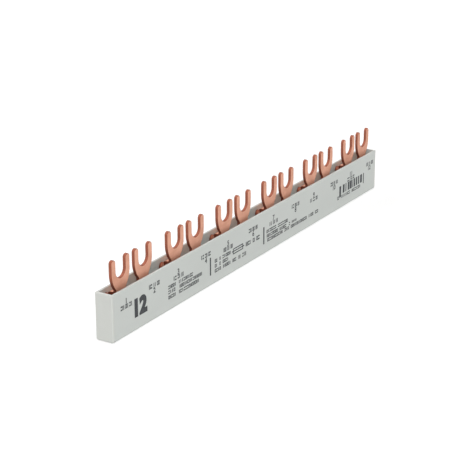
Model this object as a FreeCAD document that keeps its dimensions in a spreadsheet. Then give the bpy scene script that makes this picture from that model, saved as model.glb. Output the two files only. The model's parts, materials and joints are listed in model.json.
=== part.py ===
import FreeCAD, Part
import math
import os

import Sketcher
from FreeCAD import Placement, Rotation, Vector

# Comb busbar with forks, for a row of two-pole devices on a rail.
# X runs along the bar, the marked front faces -Y, and the bar stands on z = 0.
# The origin is the centre of the base. Lengths are in millimetres.

# Driving dimensions: alias, value, meaning
SIZES = [
    ("pair_count", 6, "pairs of forks, one pair for each two-pole device"),
    ("module_pitch", 17.8, "between the two forks of a pair, one pole of a device"),
    ("accessory_width", 8.9, "room for a half-module accessory beside each device"),
    ("sheet", 1.5, "thickness of the copper sheet"),
    ("fork_gap", 3.6, "between the two forks of a pair"),
    ("tine_width", 3.4, "each tine"),
    ("tip_rise", 14.3, "fork tips above the rim"),
    ("slot_rise", 4.5, "bottom of the terminal slot above the rim"),
    ("shoulder_rise", 7.8, "where the flanks turn in towards the neck, above the rim"),
    ("shoulder_radius", 13.0, "round flanks between tines and neck"),
    ("neck_width", 8.0, "neck between a fork's base and its strip"),
    ("neck_fillet", 0.8, "inside corner between neck and round flank"),
    ("strip_height", 11.0, "each copper strip"),
    ("tab_drop", 2.0, "top of the wide rear tabs below the rim"),
    ("tab_corner", 2.0, "rounded upper corners of the rear tabs"),
    ("relief_width", 0.8, "notch on each side of a bent neck"),
    ("crank_drop", 1.6, "top of the bent neck's level part below the rim"),
    ("bend_radius", 0.6, "inside radius of the two bends"),
    ("case_height", 23.2, "plastic profile, base to rim"),
    ("wall", 1.1, "front and back walls of the profile"),
    ("base_wall", 1.2, "bottom of the profile"),
    ("web", 1.8, "insulating web between the two strips"),
    ("web_drop", 6.5, "top of the web below the rim"),
    ("front_rib", 1.8, "depth of the ribs that hold the front strip"),
    ("rear_rib", 0.3, "depth of the ribs that hold the rear strip"),
    ("rib_height", 1.0, "height of each rib"),
    ("rib_inset", 1.5, "ribs in from the strip's lower and upper edges"),
    ("slot_fit", 0.1, "clearance on each side of a strip or tongue"),
    ("cap_thickness", 1.2, "end cap plate"),
    ("tongue_length", 2.6, "end cap tongues in the strip slots"),
    ("end_play", 0.45, "between a tongue and the end of a strip"),
    ("base_radius", 0.8, "long lower edges of profile and caps"),
    ("rim_radius", 0.3, "long edges of the rim"),
    ("cap_radius", 0.5, "outer edges of the end caps"),
]

# Places worked out from the driving dimensions, as expressions
FORK_WIDTH = "(sizes.module_pitch - sizes.fork_gap)"
PAIR_PITCH = "(2 * sizes.module_pitch + sizes.accessory_width)"
FORK_SPAN = f"((sizes.pair_count - 1) * {PAIR_PITCH} + sizes.module_pitch + {FORK_WIDTH})"
CASE_LENGTH = f"({FORK_SPAN} + 2 * (sizes.tongue_length + sizes.end_play))"
CASE_DEPTH = ("(2 * sizes.wall + sizes.front_rib + sizes.rear_rib + sizes.web"
              " + 2 * sizes.sheet + 4 * sizes.slot_fit)")

# Faces across the bar, from the front (-Y) to the back
Y_FRONT = f"(-{CASE_DEPTH} / 2)"
Y_FRONT_INNER = f"({Y_FRONT} + sizes.wall)"
Y_FRONT_RIB = f"({Y_FRONT_INNER} + sizes.front_rib)"
Y_FORK = f"({Y_FRONT_RIB} + sizes.slot_fit)"
Y_WEB_FRONT = f"({Y_FORK} + sizes.sheet + sizes.slot_fit)"
Y_WEB_BACK = f"({Y_WEB_FRONT} + sizes.web)"
Y_REAR_STRIP = f"({Y_WEB_BACK} + sizes.slot_fit)"
Y_REAR_RIB = f"({Y_REAR_STRIP} + sizes.sheet + sizes.slot_fit)"
Y_BACK_INNER = f"({Y_REAR_RIB} + sizes.rear_rib)"
Y_BACK = f"({CASE_DEPTH} / 2)"

# Levels, from the base up
Z_FLOOR = "sizes.base_wall"
Z_STRIP_TOP = "(sizes.base_wall + sizes.strip_height)"
Z_LOW_RIB = "(sizes.base_wall + sizes.rib_inset)"
Z_HIGH_RIB = f"({Z_STRIP_TOP} - sizes.rib_inset - sizes.rib_height)"
Z_RIM = "sizes.case_height"
Z_WEB_TOP = "(sizes.case_height - sizes.web_drop)"
Z_TAB_TOP = "(sizes.case_height - sizes.tab_drop)"
Z_CRANK_TOP = "(sizes.case_height - sizes.crank_drop)"
OUTER_BEND = "(sizes.bend_radius + sizes.sheet)"
Z_REAR_BEND = f"({Z_CRANK_TOP} - {OUTER_BEND})"
Z_FRONT_BEND = f"({Z_CRANK_TOP} + sizes.bend_radius)"
Z_SHOULDER = "(sizes.case_height + sizes.shoulder_rise)"
SLOT_RADIUS = f"({FORK_WIDTH} / 2 - sizes.tine_width)"
Z_SLOT_CENTRE = f"(sizes.case_height + sizes.slot_rise + {SLOT_RADIUS})"
Z_TIP_CENTRE = "(sizes.case_height + sizes.tip_rise - sizes.tine_width / 2)"

# Bends of the rear necks, and the tabs beside them
Y_REAR_BEND = f"({Y_REAR_STRIP} - sizes.bend_radius)"
Y_FRONT_BEND = f"({Y_FORK} + sizes.sheet + sizes.bend_radius)"
TAB_HALF = f"({FORK_WIDTH} / 2)"
TAB_GAP = "(sizes.neck_width / 2 + sizes.relief_width)"
TAB_CORNER = f"min(sizes.tab_corner; 0.9 * ({TAB_HALF} - {TAB_GAP}))"

# First fork of each comb along the bar
X_FIRST_REAR = f"(-{FORK_SPAN} / 2 + {FORK_WIDTH} / 2)"
X_FIRST_FRONT = f"({X_FIRST_REAR} + sizes.module_pitch)"

START, END, CENTRE = 1, 2, 3
ORIGIN_POINT = (-1, 1)
EDGE_TOLERANCE = 1e-4


def make_sheet(doc):
    """The spreadsheet that holds the driving dimensions."""
    sheet = doc.addObject("Spreadsheet::Sheet", "sizes")
    for row, (alias, value, meaning) in enumerate(SIZES, start=1):
        sheet.set(f"A{row}", alias)
        sheet.set(f"B{row}", str(value))
        sheet.set(f"C{row}", meaning)
        sheet.setAlias(f"B{row}", alias)
    doc.recompute()
    return sheet


def line(x1, y1, x2, y2):
    """Straight piece of an outline."""
    return Part.LineSegment(Vector(x1, y1, 0), Vector(x2, y2, 0))


def arc(x, y, radius, first_angle, last_angle):
    """Round piece of an outline, anticlockwise between two angles."""
    circle = Part.Circle(Vector(x, y, 0), Vector(0, 0, 1), radius)
    return Part.ArcOfCircle(circle, first_angle, last_angle)


class Builder:
    """Makes bodies whose sketches and features follow the spreadsheet."""

    def __init__(self, doc, sheet):
        self.doc = doc
        self.sheet = sheet

    def value(self, expression):
        """The number that an expression of sizes gives now."""
        result = self.sheet.evalExpression(expression)
        return float(getattr(result, "Value", result))

    def body(self, name):
        body = self.doc.addObject("PartDesign::Body", name)
        body.Label = name
        body.Placement = Placement(Vector(0, 0, 0), Rotation())
        return body

    def origin_feature(self, body, role):
        for feature in body.Origin.OriginFeatures:
            if feature.Role == role:
                return feature
        raise ValueError(f"no {role} in {body.Name}")

    def sketch(self, body, name, plane, offset="0", shift="0"):
        """A sketch on an origin plane, moved along its normal and its own x."""
        sketch = body.newObject("Sketcher::SketchObject", name)
        sketch.AttachmentSupport = (self.origin_feature(body, plane), [""])
        sketch.MapMode = "FlatFace"
        sketch.setExpression("AttachmentOffset.Base.z", f"{offset} * 1 mm")
        sketch.setExpression("AttachmentOffset.Base.x", f"{shift} * 1 mm")
        return sketch

    def bind(self, sketch, kind, references, expression):
        """Adds one dimension to a sketch and ties it to an expression."""
        index = sketch.addConstraint(
            Sketcher.Constraint(kind, *references, self.value(expression)))
        sketch.setExpression(f"Constraints[{index}]", f"{expression} * 1 mm")

    def bind_point(self, sketch, point, x_expression, y_expression):
        self.bind(sketch, "DistanceX", (*ORIGIN_POINT, *point), x_expression)
        self.bind(sketch, "DistanceY", (*ORIGIN_POINT, *point), y_expression)

    def outline(self, sketch, corners):
        """A closed outline of level and upright lines through the corners.

        Each corner is a pair of expressions. Every line is kept level or
        upright, and its place is one dimension from the origin.
        """
        points = [(self.value(x), self.value(y)) for x, y in corners]
        first = sketch.GeometryCount
        sketch.addGeometry([line(*start, *end) for start, end
                            in zip(points, points[1:] + points[:1])], False)
        for index, (start, end) in enumerate(zip(corners, corners[1:] + corners[:1])):
            side = first + index
            after = first + (index + 1) % len(corners)
            sketch.addConstraint(Sketcher.Constraint("Coincident", side, END, after, START))
            if start[0] == end[0]:
                sketch.addConstraint(Sketcher.Constraint("Vertical", side))
                self.bind(sketch, "DistanceX", (*ORIGIN_POINT, side, START), start[0])
            else:
                sketch.addConstraint(Sketcher.Constraint("Horizontal", side))
                self.bind(sketch, "DistanceY", (*ORIGIN_POINT, side, START), start[1])

    def rectangle(self, sketch, x_low, x_high, y_low, y_high):
        self.outline(sketch, [(x_low, y_low), (x_high, y_low),
                              (x_high, y_high), (x_low, y_high)])

    def chain(self, sketch, pieces, corners=()):
        """Joins lines and arcs end to end into one closed outline.

        Neighbours are tangent, apart from the joints whose number is in
        corners. Joint n lies between piece n and the next one.
        """
        first = sketch.GeometryCount
        sketch.addGeometry(pieces, False)
        ends = []
        for index, piece in enumerate(pieces):
            following = pieces[(index + 1) % len(pieces)]
            shared = [(a, b) for a, p in ((START, piece.StartPoint), (END, piece.EndPoint))
                      for b, q in ((START, following.StartPoint), (END, following.EndPoint))
                      if p.distanceToPoint(q) < EDGE_TOLERANCE]
            ends.append(shared[0])
        for index, (end, start) in enumerate(ends):
            kind = "Coincident" if index in corners else "Tangent"
            after = first + (index + 1) % len(pieces)
            sketch.addConstraint(
                Sketcher.Constraint(kind, first + index, end, after, start))
        return first

    def pad(self, body, sketch, name, length, reverse=False, centred=False):
        """Thickens a sketch along its normal."""
        pad = body.newObject("PartDesign::Pad", name)
        pad.Profile = sketch
        pad.setExpression("Length", f"{length} * 1 mm")
        pad.Reversed = reverse
        pad.Midplane = centred
        sketch.Visibility = False
        return pad

    def repeat(self, body, features, name):
        """Repeats features from pair to pair along the bar."""
        pattern = body.newObject("PartDesign::LinearPattern", name)
        pattern.Originals = features
        pattern.Direction = (self.origin_feature(body, "X_Axis"), [""])
        pattern.setExpression("Length", f"(sizes.pair_count - 1) * {PAIR_PITCH} * 1 mm")
        pattern.setExpression("Occurrences", "sizes.pair_count")
        body.Tip = pattern
        return pattern

    def round_edges(self, body, name, test, radius):
        """Rounds each edge of the body so far whose two ends pass the test."""
        self.doc.recompute()
        base = body.Tip
        edges = [f"Edge{number}" for number, edge in enumerate(base.Shape.Edges, start=1)
                 if len(edge.Vertexes) == 2 and test(edge)]
        fillet = body.newObject("PartDesign::Fillet", name)
        fillet.Base = (base, edges)
        fillet.setExpression("Radius", f"{radius} * 1 mm")
        body.Tip = fillet
        return fillet


def ends_at(edge, axis, value):
    """True if both ends of an edge have this value along the axis."""
    return all(abs(getattr(vertex.Point, axis) - value) < EDGE_TOLERANCE
               for vertex in edge.Vertexes)


def is_outer_edge(build, edge, level):
    """True for an edge along the bar, on its front or back face, at a level."""
    at_side = any(ends_at(edge, "y", build.value(side)) for side in (Y_FRONT, Y_BACK))
    return at_side and ends_at(edge, "z", build.value(level))


def is_across(edge):
    """True for an edge that lies across the bar."""
    return abs(edge.Vertexes[0].X - edge.Vertexes[1].X) < EDGE_TOLERANCE


def make_housing(build):
    """Extruded profile: a trough with a web and ribs between its walls."""
    body = build.body("housing")
    section = build.sketch(body, "housing_section", "YZ_Plane")

    def ribs(wall, rib, upwards):
        """Corners of the two ribs on a wall, from the bottom up or back down."""
        corners = []
        for level in (Z_LOW_RIB, Z_HIGH_RIB):
            top = f"({level} + sizes.rib_height)"
            corners += [(wall, level), (rib, level), (rib, top), (wall, top)]
        return corners if upwards else corners[::-1]

    corners = [(Y_FRONT, "0"), (Y_BACK, "0"), (Y_BACK, Z_RIM), (Y_BACK_INNER, Z_RIM)]
    corners += ribs(Y_BACK_INNER, Y_REAR_RIB, upwards=False)
    corners += [(Y_BACK_INNER, Z_FLOOR), (Y_WEB_BACK, Z_FLOOR), (Y_WEB_BACK, Z_WEB_TOP),
                (Y_WEB_FRONT, Z_WEB_TOP), (Y_WEB_FRONT, Z_FLOOR), (Y_FRONT_INNER, Z_FLOOR)]
    corners += ribs(Y_FRONT_INNER, Y_FRONT_RIB, upwards=True)
    corners += [(Y_FRONT_INNER, Z_RIM), (Y_FRONT, Z_RIM)]
    build.outline(section, corners)
    build.pad(body, section, "housing_profile", CASE_LENGTH, centred=True)
    build.round_edges(body, "housing_lower_edges",
                      lambda edge: is_outer_edge(build, edge, "0"), "sizes.base_radius")
    build.round_edges(body, "housing_rim",
                      lambda edge: ends_at(edge, "z", build.value(Z_RIM))
                      and not is_across(edge), "sizes.rim_radius")
    return body


def draw_fork(build, sketch, neck_base):
    """Outline of one fork: neck, round flanks, two tines and the slot between."""
    half = build.value(f"{FORK_WIDTH} / 2")
    tine = build.value("sizes.tine_width")
    neck = build.value("sizes.neck_width / 2")
    fillet = build.value("sizes.neck_fillet")
    flank = build.value("sizes.shoulder_radius")
    slot = half - tine
    base = build.value(neck_base)
    shoulder = build.value(Z_SHOULDER)
    slot_centre = build.value(Z_SLOT_CENTRE)
    tip_centre = build.value(Z_TIP_CENTRE)
    across = flank - half + neck + fillet
    fillet_centre = shoulder - math.sqrt((flank + fillet) ** 2 - across ** 2)
    turn = math.atan2(shoulder - fillet_centre, across)
    pieces = [
        line(-neck, base, neck, base),
        line(neck, base, neck, fillet_centre),
        arc(neck + fillet, fillet_centre, fillet, math.pi - turn, math.pi),
        arc(half - flank, shoulder, flank, -turn, 0),
        line(half, shoulder, half, tip_centre),
        arc(half - tine / 2, tip_centre, tine / 2, 0, math.pi),
        line(slot, tip_centre, slot, slot_centre),
        arc(0, slot_centre, slot, math.pi, 2 * math.pi),
        line(-slot, slot_centre, -slot, tip_centre),
        arc(-half + tine / 2, tip_centre, tine / 2, 0, math.pi),
        line(-half, tip_centre, -half, shoulder),
        arc(flank - half, shoulder, flank, math.pi, math.pi + turn),
        arc(-neck - fillet, fillet_centre, fillet, 0, turn),
        line(-neck, fillet_centre, -neck, base),
    ]
    first = build.chain(sketch, pieces, corners=(0, 13))
    neck_bottom, neck_right, neck_left = first, first + 1, first + 13
    sketch.addConstraint(Sketcher.Constraint("Horizontal", neck_bottom))
    build.bind(sketch, "DistanceY", (*ORIGIN_POINT, neck_bottom, START), neck_base)
    for line_number, side in ((neck_right, "1"), (neck_left, "-1")):
        sketch.addConstraint(Sketcher.Constraint("Vertical", line_number))
        build.bind(sketch, "DistanceX", (*ORIGIN_POINT, line_number, START),
                   f"{side} * sizes.neck_width / 2")
    half_width = f"{FORK_WIDTH} / 2"
    tip = f"({half_width} - sizes.tine_width / 2)"
    flank_centre = f"(sizes.shoulder_radius - {half_width})"
    arcs = [
        (first + 3, f"-1 * {flank_centre}", Z_SHOULDER, "sizes.shoulder_radius"),
        (first + 5, tip, Z_TIP_CENTRE, "sizes.tine_width / 2"),
        (first + 7, "0", Z_SLOT_CENTRE, SLOT_RADIUS),
        (first + 9, f"-1 * {tip}", Z_TIP_CENTRE, "sizes.tine_width / 2"),
        (first + 11, flank_centre, Z_SHOULDER, "sizes.shoulder_radius"),
    ]
    for number, x_centre, y_centre, radius in arcs:
        build.bind_point(sketch, (number, CENTRE), x_centre, y_centre)
        build.bind(sketch, "Radius", (number,), radius)
    for number in (first + 2, first + 12):
        build.bind(sketch, "Radius", (number,), "sizes.neck_fillet")


def add_strip(build, body, name, y_front):
    """Flat copper strip that stands on the profile's inner bottom."""
    sketch = build.sketch(body, f"{name}_outline", "XZ_Plane", offset=f"-1 * {y_front}")
    build.rectangle(sketch, f"(-{FORK_SPAN} / 2)", f"({FORK_SPAN} / 2)",
                    Z_FLOOR, Z_STRIP_TOP)
    return build.pad(body, sketch, name, "sizes.sheet", reverse=True)


def add_fork(build, body, name, x_centre, neck_base):
    """One fork in the plane that all forks share."""
    sketch = build.sketch(body, f"{name}_outline", "XZ_Plane",
                          offset=f"-1 * {Y_FORK}", shift=x_centre)
    draw_fork(build, sketch, neck_base)
    return build.pad(body, sketch, name, "sizes.sheet", reverse=True)


def make_front_comb(build):
    """Stamped strip whose forks rise straight from it."""
    body = build.body("front_comb")
    add_strip(build, body, "front_strip", Y_FORK)
    fork = add_fork(build, body, "front_fork", X_FIRST_FRONT, Z_STRIP_TOP)
    build.repeat(body, [fork], "front_forks")
    return body


def add_tab(build, body):
    """Wide tab on the rear strip, with a gap for the bent neck and its reliefs."""
    sketch = build.sketch(body, "rear_tab_outline", "XZ_Plane",
                          offset=f"-1 * {Y_REAR_STRIP}", shift=X_FIRST_REAR)
    half = build.value(TAB_HALF)
    gap = build.value(TAB_GAP)
    corner = build.value(TAB_CORNER)
    base = build.value(Z_STRIP_TOP)
    top = build.value(Z_TAB_TOP)
    notch = build.value(Z_REAR_BEND)
    quarter = math.pi / 2
    pieces = [
        line(-half, base, half, base),
        line(half, base, half, top - corner),
        arc(half - corner, top - corner, corner, 0, quarter),
        line(half - corner, top, gap, top),
        line(gap, top, gap, notch),
        line(gap, notch, -gap, notch),
        line(-gap, notch, -gap, top),
        line(-gap, top, -half + corner, top),
        arc(-half + corner, top - corner, corner, quarter, 2 * quarter),
        line(-half, top - corner, -half, base),
    ]
    first = build.chain(sketch, pieces, corners=(0, 3, 4, 5, 6, 9))
    for number in (0, 3, 5, 7):
        sketch.addConstraint(Sketcher.Constraint("Horizontal", first + number))
    for number in (1, 4, 6, 9):
        sketch.addConstraint(Sketcher.Constraint("Vertical", first + number))
    for number, side in ((2, "1"), (8, "-1")):
        build.bind_point(sketch, (first + number, CENTRE),
                         f"{side} * ({TAB_HALF} - {TAB_CORNER})",
                         f"({Z_TAB_TOP} - {TAB_CORNER})")
        build.bind(sketch, "Radius", (first + number,), TAB_CORNER)
    build.bind(sketch, "DistanceY", (*ORIGIN_POINT, first, START), Z_STRIP_TOP)
    build.bind(sketch, "DistanceY", (*ORIGIN_POINT, first + 5, START), Z_REAR_BEND)
    build.bind(sketch, "DistanceX", (*ORIGIN_POINT, first + 4, START), TAB_GAP)
    build.bind(sketch, "DistanceX", (*ORIGIN_POINT, first + 6, START), f"-1 * {TAB_GAP}")
    return build.pad(body, sketch, "rear_tab", "sizes.sheet", reverse=True)


def add_crank(build, body):
    """Neck bent forward over the web and up again into the plane of the forks."""
    sketch = build.sketch(body, "rear_crank_section", "YZ_Plane", offset=X_FIRST_REAR)
    inner = build.value("sizes.bend_radius")
    outer = build.value(OUTER_BEND)
    rear = build.value(Y_REAR_BEND)
    front = build.value(Y_FRONT_BEND)
    low = build.value(Z_REAR_BEND)
    high = build.value(Z_FRONT_BEND)
    quarter = math.pi / 2
    pieces = [
        line(rear + inner, low, rear + outer, low),
        arc(rear, low, outer, 0, quarter),
        line(rear, low + outer, front, high - inner),
        arc(front, high, inner, 2 * quarter, 3 * quarter),
        line(front - inner, high, front - outer, high),
        arc(front, high, outer, 2 * quarter, 3 * quarter),
        line(front, high - outer, rear, low + inner),
        arc(rear, low, inner, 0, quarter),
    ]
    first = build.chain(sketch, pieces, corners=(0, 3, 4, 7))
    for number in (first, first + 4):
        sketch.addConstraint(Sketcher.Constraint("Horizontal", number))
    arcs = [(first + 1, Y_REAR_BEND, Z_REAR_BEND, OUTER_BEND),
            (first + 7, Y_REAR_BEND, Z_REAR_BEND, "sizes.bend_radius"),
            (first + 3, Y_FRONT_BEND, Z_FRONT_BEND, "sizes.bend_radius"),
            (first + 5, Y_FRONT_BEND, Z_FRONT_BEND, OUTER_BEND)]
    for number, y_centre, z_centre, radius in arcs:
        build.bind_point(sketch, (number, CENTRE), y_centre, z_centre)
        build.bind(sketch, "Radius", (number,), radius)
    build.bind(sketch, "DistanceY", (*ORIGIN_POINT, first, START), Z_REAR_BEND)
    build.bind(sketch, "DistanceY", (*ORIGIN_POINT, first + 4, START), Z_FRONT_BEND)
    return build.pad(body, sketch, "rear_crank", "sizes.neck_width", centred=True)


def make_rear_comb(build):
    """Stamped strip whose necks are bent forward, so that all forks align."""
    body = build.body("rear_comb")
    add_strip(build, body, "rear_strip", Y_REAR_STRIP)
    tab = add_tab(build, body)
    crank = add_crank(build, body)
    fork = add_fork(build, body, "rear_fork", X_FIRST_REAR, Z_FRONT_BEND)
    build.repeat(body, [tab, crank, fork], "rear_forks")
    return body


def make_end_cap(build, name, side):
    """Cap on one end of the profile; side is -1 for the left, 1 for the right."""
    body = build.body(name)
    inner_face = f"({side} * {CASE_LENGTH} / 2)"
    outer_face = build.value(f"{side} * ({CASE_LENGTH} / 2 + sizes.cap_thickness)")
    plate = build.sketch(body, f"{name}_plate_outline", "YZ_Plane", offset=inner_face)
    build.rectangle(plate, Y_FRONT, Y_BACK, "0", Z_RIM)
    build.pad(body, plate, f"{name}_plate", "sizes.cap_thickness", reverse=side < 0)
    for slot, y_front in (("front", Y_FORK), ("rear", Y_REAR_STRIP)):
        tongue = build.sketch(body, f"{name}_{slot}_tongue_outline", "YZ_Plane",
                              offset=inner_face)
        build.rectangle(tongue, y_front, f"({y_front} + sizes.sheet)",
                        f"({Z_FLOOR} + sizes.slot_fit)", Z_STRIP_TOP)
        build.pad(body, tongue, f"{name}_{slot}_tongue", "sizes.tongue_length",
                  reverse=side > 0)
    for part, level, radius in (("lower", "0", "sizes.base_radius"),
                                ("rim", Z_RIM, "sizes.rim_radius")):
        build.round_edges(body, f"{name}_{part}_edges",
                          lambda edge, level=level: is_outer_edge(build, edge, level),
                          radius)
    build.round_edges(body, f"{name}_outer_edges",
                      lambda edge: ends_at(edge, "x", outer_face), "sizes.cap_radius")
    return body


def check_document(doc, bodies):
    """Stops if an object failed or a sub-part is not one valid solid."""
    for item in doc.Objects:
        failed = [state for state in item.State if state in ("Invalid", "Error")]
        if failed:
            raise RuntimeError(f"{item.Name} is {', '.join(failed)}")
    for body in bodies:
        shape = body.Shape
        if shape.isNull() or not shape.isValid() or len(shape.Solids) != 1:
            raise RuntimeError(f"{body.Label} is not one valid solid")


def export(bodies):
    """Writes each sub-part to its own file."""
    os.makedirs("parts", exist_ok=True)
    for body in bodies:
        body.Shape.exportStep(f"parts/{body.Label}.step")
        box = body.Shape.BoundBox
        print(f"{body.Label}: {box.XLength:.2f} x {box.YLength:.2f} x {box.ZLength:.2f} mm,"
              f" {body.Shape.Volume:.1f} mm3")


def main():
    doc = FreeCAD.newDocument("comb_busbar")
    build = Builder(doc, make_sheet(doc))
    bodies = [make_housing(build), make_front_comb(build), make_rear_comb(build),
              make_end_cap(build, "left_end_cap", -1),
              make_end_cap(build, "right_end_cap", 1)]
    doc.recompute()
    check_document(doc, bodies)
    export(bodies)


main()
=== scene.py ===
"""Looks of a comb busbar with twelve forks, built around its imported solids.

X runs along the bar, the printed front faces -Y and Z is up. The classes hold
their sizes in millimetres, and every mesh is written in metres.
"""

import json
import logging
import math
from dataclasses import dataclass, field
from enum import Enum
from typing import Any

import bmesh
import bpy
import numpy as np
from bpy.types import Material, Mesh, NodeSocket, NodeTree, Object, World
from mathutils import Matrix, Vector


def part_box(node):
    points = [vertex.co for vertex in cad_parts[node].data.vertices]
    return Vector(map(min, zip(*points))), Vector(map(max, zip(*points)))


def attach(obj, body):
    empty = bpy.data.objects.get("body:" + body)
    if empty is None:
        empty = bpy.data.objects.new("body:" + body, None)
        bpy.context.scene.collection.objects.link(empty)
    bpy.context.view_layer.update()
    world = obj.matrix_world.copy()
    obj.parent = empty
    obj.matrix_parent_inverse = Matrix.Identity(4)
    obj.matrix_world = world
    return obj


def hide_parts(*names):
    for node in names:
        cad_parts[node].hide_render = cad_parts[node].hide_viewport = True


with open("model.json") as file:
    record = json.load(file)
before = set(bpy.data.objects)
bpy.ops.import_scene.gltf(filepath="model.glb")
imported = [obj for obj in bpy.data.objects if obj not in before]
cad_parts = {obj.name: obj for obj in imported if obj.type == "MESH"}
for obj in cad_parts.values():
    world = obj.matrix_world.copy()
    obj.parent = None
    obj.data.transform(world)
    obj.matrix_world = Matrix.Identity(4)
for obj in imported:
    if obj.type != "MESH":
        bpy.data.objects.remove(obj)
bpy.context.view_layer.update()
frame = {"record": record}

log = logging.getLogger("comb_busbar")

MM = 0.001
SAME_POINT = 1e-6               # millimetres within which two points are one


def linear(colour: str) -> tuple[float, float, float, float]:
    """Turns an sRGB hex colour into the linear values that shaders take.

    Args:
        colour: Six hex digits after a hash sign.

    Returns:
        Linear red, green, blue and an alpha of one.
    """
    shown = np.array([int(colour[i:i + 2], 16) for i in (1, 3, 5)]) / 255
    light = np.where(shown <= 0.04045, shown / 12.92, ((shown + 0.055) / 1.055) ** 2.4)
    return (*light.tolist(), 1.0)


def add_node(tree: NodeTree, kind: str, inputs: dict[str | int, Any] | None = None,
             **settings: Any) -> bpy.types.bpy_prop_collection:
    """Adds one shader node with its settings, values and links.

    Args:
        tree: Node tree of a material or of the world.
        kind: Blender's name of the node type, without "ShaderNode" before it.
        inputs: Socket name or number to a value, or to the socket it is fed by.
        **settings: Properties of the node itself.

    Returns:
        The new node's outputs.
    """
    node = tree.nodes.new("ShaderNode" + kind)
    for name, value in settings.items():
        setattr(node, name, value)
    for name, value in (inputs or {}).items():
        if isinstance(value, NodeSocket):
            tree.links.new(value, node.inputs[name])
        else:
            node.inputs[name].default_value = value
    return node.outputs


def empty_tree(holder: Material | World) -> NodeTree:
    """Turns nodes on in a material or the world and clears them.

    Args:
        holder: The material or the world.

    Returns:
        Its node tree, which is empty.
    """
    holder.use_nodes = True
    holder.node_tree.nodes.clear()
    return holder.node_tree


def per_metre(spacing_mm: float) -> float:
    """Scale of a noise texture whose features are this far apart."""
    return 1 / (spacing_mm * MM)


@dataclass(frozen=True)
class Finish:
    """Procedural material of one real surface, on Object coordinates in metres."""

    name: str

    def surface(self, tree: NodeTree, place: NodeSocket) -> dict[str, Any]:
        """Adds the nodes of the finish's patterns.

        Args:
            tree: The material's node tree.
            place: Socket of the Object coordinates.

        Returns:
            Inputs of the surface's shader.
        """
        raise NotImplementedError

    def build(self) -> Material:
        """Makes the material, whose one shader takes what surface() returns.

        Returns:
            The material.
        """
        material = bpy.data.materials.new(self.name)
        tree = empty_tree(material)
        place = add_node(tree, "TexCoord")["Object"]
        shader = add_node(tree, "BsdfPrincipled", self.surface(tree, place))
        add_node(tree, "OutputMaterial", {"Surface": shader["BSDF"]})
        return material


@dataclass(frozen=True)
class MattPlastic(Finish):
    """Light grey plastic with soft clouds of colour and a fine relief."""

    colour: str
    shade: str
    ior: float
    roughness: float
    swing: float                # of the roughness, up and down
    cloud_mm: float
    bump: float
    depth_mm: float = 0.012

    def relief(self, tree: NodeTree, place: NodeSocket) -> tuple[NodeSocket, NodeSocket]:
        """Adds the nodes of the relief.

        Args:
            tree: The material's node tree.
            place: Socket of the Object coordinates.

        Returns:
            The height of the relief and the pattern that the gloss follows.
        """
        raise NotImplementedError

    def surface(self, tree: NodeTree, place: NodeSocket) -> dict[str, Any]:
        """The clouds of colour, the relief and the gloss.

        Args:
            tree: The material's node tree.
            place: Socket of the Object coordinates.

        Returns:
            Inputs of the surface's shader.
        """
        cloud = add_node(tree, "TexNoise", {
            "Vector": place, "Scale": per_metre(self.cloud_mm), "Detail": 2.0})
        colour = add_node(tree, "Mix", {
            "Factor": cloud["Fac"], "A": linear(self.colour), "B": linear(self.shade)},
            data_type="RGBA")
        height, pattern = self.relief(tree, place)
        bump = add_node(tree, "Bump", {
            "Height": height, "Strength": self.bump, "Distance": self.depth_mm * MM})
        gloss = add_node(tree, "MapRange", {
            "Value": pattern, "To Min": self.roughness - self.swing,
            "To Max": self.roughness + self.swing})
        return {"Base Color": colour["Result"], "Roughness": gloss["Result"],
                "IOR": self.ior, "Normal": bump["Normal"]}


@dataclass(frozen=True)
class RigidPvc(MattPlastic):
    """Extruded rigid PVC.

    Extrusion leaves a fine matt skin with faint straight lines from the die
    along the bar, and next to no change of colour.
    """

    name: str = "extruded_rigid_pvc"
    colour: str = "#C5C9C5"
    shade: str = "#C0C4C0"
    ior: float = 1.53
    roughness: float = 0.46
    swing: float = 0.05
    cloud_mm: float = 22.0
    bump: float = 0.35
    line_mm: float = 0.55       # real die lines are finer; drawn coarser to show
    line_run_mm: float = 160.0
    grain_mm: float = 0.25      # real grain is finer; drawn coarser to show
    grain_share: float = 0.35   # depth of the grain against the lines'

    def relief(self, tree: NodeTree, place: NodeSocket) -> tuple[NodeSocket, NodeSocket]:
        """Die lines along the bar over a fine grain.

        Args:
            tree: The material's node tree.
            place: Socket of the Object coordinates.

        Returns:
            The height of the relief and the pattern that the gloss follows.
        """
        drawn = add_node(tree, "Mapping", {
            "Vector": place, "Scale": (self.line_mm / self.line_run_mm, 1.0, 1.0)})
        lines = add_node(tree, "TexNoise", {
            "Vector": drawn["Vector"], "Scale": per_metre(self.line_mm),
            "Detail": 3.0, "Roughness": 0.6})
        grain = add_node(tree, "TexNoise", {
            "Vector": place, "Scale": per_metre(self.grain_mm), "Detail": 2.0})
        height = add_node(tree, "Math", {
            0: grain["Fac"], 1: self.grain_share, 2: lines["Fac"]},
            operation="MULTIPLY_ADD")
        return height["Value"], lines["Fac"]


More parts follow.
